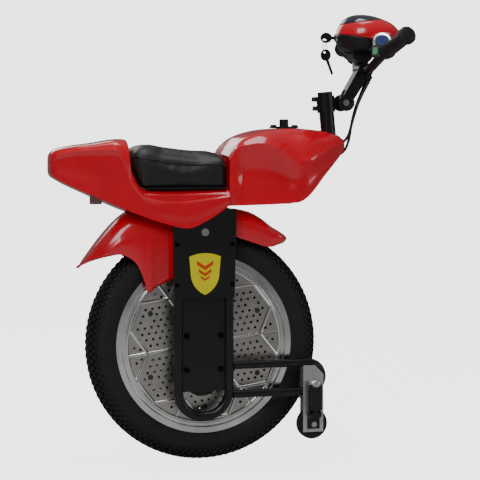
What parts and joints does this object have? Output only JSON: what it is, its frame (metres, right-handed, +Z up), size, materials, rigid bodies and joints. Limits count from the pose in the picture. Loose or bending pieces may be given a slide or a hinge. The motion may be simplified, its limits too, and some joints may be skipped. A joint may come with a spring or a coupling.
{
  "type": "unicycle",
  "caption": "Self-balancing electric unicycle with red motorcycle-style body, black seat, riser handlebar, hub-motor wheel with perforated cover, folding footpegs and a support roller.",
  "frame": {"origin": "tyre contact point on the ground under the wheel axle", "axes": "+X forward, +Y to the rider's left, +Z up"},
  "size_m": [0.859, 0.4734, 1.0639],
  "materials": {
    "tyre_rubber": "matte",
    "tube_rubber": "matte",
    "rim_alloy": "polished",
    "cover_alloy": "satin",
    "motor_steel": "satin",
    "zinc_steel": "satin",
    "chrome_parts": "polished",
    "frame_black": "satin",
    "bar_black": "gloss",
    "body_red": "gloss",
    "black_plastic": "matte",
    "seat_vinyl": "satin",
    "grip_rubber": "matte",
    "bracket_silver": "satin",
    "badge_yellow": "gloss",
    "smoked_window": "gloss",
    "lamp_lens": "gloss",
    "button_blue": "gloss",
    "button_green": "gloss",
    "cable_black": "satin",
    "cell_wrap": "matte",
    "bracket_grey": "matte"
  },
  "bodies": {
    "root": {"axle": "zinc_steel", "stator": "motor_steel", "axle_nuts": "zinc_steel", "axle_clamps": "frame_black", "side_tube_right": "frame_black", "side_tube_left": "frame_black", "web_plates": "frame_black", "cover_panels": "frame_black", "badges": "badge_yellow", "frame_bolts": "zinc_steel", "top_deck": "frame_black", "spine_beam": "frame_black", "steering_post": "bar_black", "post_cap": "black_plastic", "stem_clamp": "bar_black", "body_shell": "body_red", "tank_shell": "body_red", "under_tray": "black_plastic", "battery_pack": "cell_wrap", "controller_box": "rim_alloy", "seat_pan": "black_plastic", "seat_cushion": "seat_vinyl", "tail_bracket": "bracket_grey", "filler_flange": "black_plastic", "rear_fender": "body_red", "front_fender": "body_red", "arm_tubes": "frame_black", "bracket_right": "bracket_silver", "bracket_left": "bracket_silver", "peg_hinges": "frame_black", "pivot_bolts": "zinc_steel", "control_cable": "cable_black", "lamp_cable": "cable_black"},
    "wheel": {"tyre": "tyre_rubber", "inner_tube": "tube_rubber", "rim": "rim_alloy", "motor_covers": "motor_steel", "wheel_bearings": "zinc_steel", "magnet_ring": "motor_steel", "wheel_covers": "cover_alloy", "cover_screws": "zinc_steel"},
    "handlebar_unit": {"stem_arm": "bar_black", "bar_clamp": "bar_black", "handlebar": "bar_black", "grips": "grip_rubber", "head_shell_lower": "black_plastic", "head_shell_upper": "body_red", "display_lens": "smoked_window", "headlight_lens": "lamp_lens", "lock_barrel": "zinc_steel", "head_bracket": "bar_black", "switch_pod": "black_plastic"},
    "key": {"ignition_key": "black_plastic"},
    "hanging_key": {"spare_key": "black_plastic"},
    "light_switch": {"light_button": "button_blue"},
    "horn_switch": {"horn_button": "button_green"},
    "filler_knob": {"cap_knob": "black_plastic"},
    "roller": {"support_roller": "grip_rubber"},
    "peg_right": {"footpeg_right": "grip_rubber"},
    "peg_left": {"footpeg_left": "grip_rubber"}
  },
  "joints": [
    {"name": "wheel_spin", "type": "hinge", "parent": "root", "child": "wheel", "pos_m": [0, 0, 0.279], "axis": [0, 1, 0], "continuous": true},
    {"name": "stem_tilt", "type": "hinge", "parent": "root", "child": "handlebar_unit", "pos_m": [0.356, 0, 0.85], "axis": [0, 1, 0], "range_deg": [-30, 25], "deforming": ["control_cable", "lamp_cable"]},
    {"name": "key_turn", "type": "hinge", "parent": "handlebar_unit", "child": "key", "pos_m": [0.323, 0, 1.006], "axis": [1, 0, 0], "range_deg": [0, 90]},
    {"name": "spare_key_swing", "type": "hinge", "parent": "key", "child": "hanging_key", "pos_m": [0.307, 0, 0.9997], "axis": [0, 1, 0], "range_deg": [-40, 40]},
    {"name": "light_button_press", "type": "slide", "parent": "handlebar_unit", "child": "light_switch", "axis": [0.4205, 0.841, -0.3404], "range_m": [0, 0.0025], "stiffness_N_per_m": 300},
    {"name": "horn_button_press", "type": "slide", "parent": "handlebar_unit", "child": "horn_switch", "axis": [0.4205, 0.841, -0.3404], "range_m": [0, 0.0025], "stiffness_N_per_m": 300},
    {"name": "filler_knob_turn", "type": "hinge", "parent": "root", "child": "filler_knob", "pos_m": [0.205, 0, 0.7884], "axis": [0, 0, 1], "range_deg": [0, 90]},
    {"name": "roller_spin", "type": "hinge", "parent": "root", "child": "roller", "pos_m": [0.253, -0.075, 0.085], "axis": [0, 1, 0], "continuous": true},
    {"name": "peg_right_fold", "type": "hinge", "parent": "root", "child": "peg_right", "pos_m": [0.253, -0.101, 0.11], "axis": [1, 0, 0], "range_deg": [0, 90]},
    {"name": "peg_left_fold", "type": "hinge", "parent": "root", "child": "peg_left", "pos_m": [0.253, 0.101, 0.16], "axis": [-1, 0, 0], "range_deg": [0, 90]}
  ]
}
